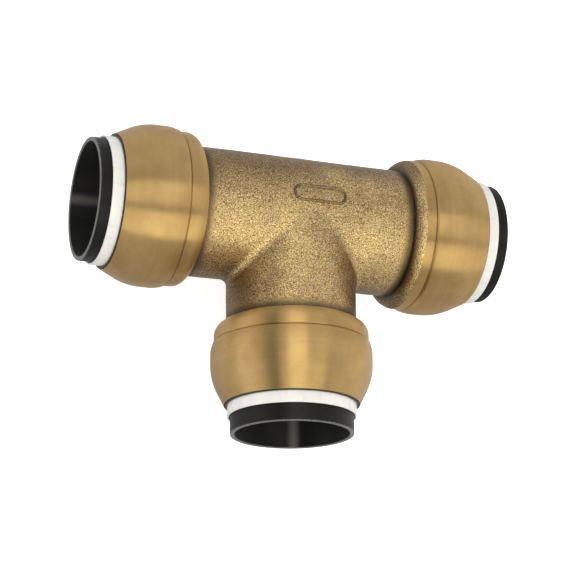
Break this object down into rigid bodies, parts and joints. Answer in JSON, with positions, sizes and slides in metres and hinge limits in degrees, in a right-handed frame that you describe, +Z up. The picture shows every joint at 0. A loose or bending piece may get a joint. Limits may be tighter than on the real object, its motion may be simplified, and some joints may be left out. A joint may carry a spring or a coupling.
{
  "type": "push to connect fitting",
  "caption": "Push to connect equal tee in brass with domed end caps, seals, toothed grab rings and sliding release collars in the ports.",
  "frame": {"origin": "under the middle of the bounding box, on the surface that the three end caps rest on", "axes": "X along the run, -Y down the branch, +Z up"},
  "size_m": [0.16, 0.1122, 0.06],
  "materials": {
    "cast_brass": "sand-cast, rough, with a dull brown-gold skin",
    "turned_brass": "satin turned",
    "black_plastic": "satin moulded",
    "white_plastic": "smooth moulded",
    "seal_rubber": "smooth EPDM, lightly greased",
    "spring_steel": "stamped stainless spring strip"
  },
  "bodies": {
    "fitting": {"tee_body": "cast_brass", "end_cap_left": "turned_brass", "guide_bush_left": "white_plastic", "o_ring_left": "seal_rubber", "seal_protector_left": "white_plastic", "retainer_left": "black_plastic", "end_cap_right": "turned_brass", "guide_bush_right": "white_plastic", "o_ring_right": "seal_rubber", "seal_protector_right": "white_plastic", "retainer_right": "black_plastic", "end_cap_branch": "turned_brass", "guide_bush_branch": "white_plastic", "o_ring_branch": "seal_rubber", "seal_protector_branch": "white_plastic", "retainer_branch": "black_plastic"},
    "grab_ring_left": {"grab_ring_left": "spring_steel"},
    "release_collar_left": {"release_collar_left": "black_plastic"},
    "grab_ring_right": {"grab_ring_right": "spring_steel"},
    "release_collar_right": {"release_collar_right": "black_plastic"},
    "grab_ring_branch": {"grab_ring_branch": "spring_steel"},
    "release_collar_branch": {"release_collar_branch": "black_plastic"}
  },
  "joints": [
    {"name": "grab_ring_left_turn", "type": "hinge", "parent": "fitting", "child": "grab_ring_left", "pos_m": [-0.0544, 0.02608, 0.03], "axis": [-1, 0, 0], "continuous": true},
    {"name": "release_collar_left_slide", "type": "slide", "parent": "grab_ring_left", "child": "release_collar_left", "axis": [-1, 0, 0], "range_m": [-0.0025, 0.0021], "deforming": ["grab_ring_left"]},
    {"name": "grab_ring_right_turn", "type": "hinge", "parent": "fitting", "child": "grab_ring_right", "pos_m": [0.0544, 0.02608, 0.03], "axis": [1, 0, 0], "continuous": true},
    {"name": "release_collar_right_slide", "type": "slide", "parent": "grab_ring_right", "child": "release_collar_right", "axis": [1, 0, 0], "range_m": [-0.0025, 0.0021], "deforming": ["grab_ring_right"]},
    {"name": "grab_ring_branch_turn", "type": "hinge", "parent": "fitting", "child": "grab_ring_branch", "pos_m": [0, -0.02832, 0.03], "axis": [0, -1, 0], "continuous": true},
    {"name": "release_collar_branch_slide", "type": "slide", "parent": "grab_ring_branch", "child": "release_collar_branch", "axis": [0, -1, 0], "range_m": [-0.0046, 0], "deforming": ["grab_ring_branch"]}
  ]
}
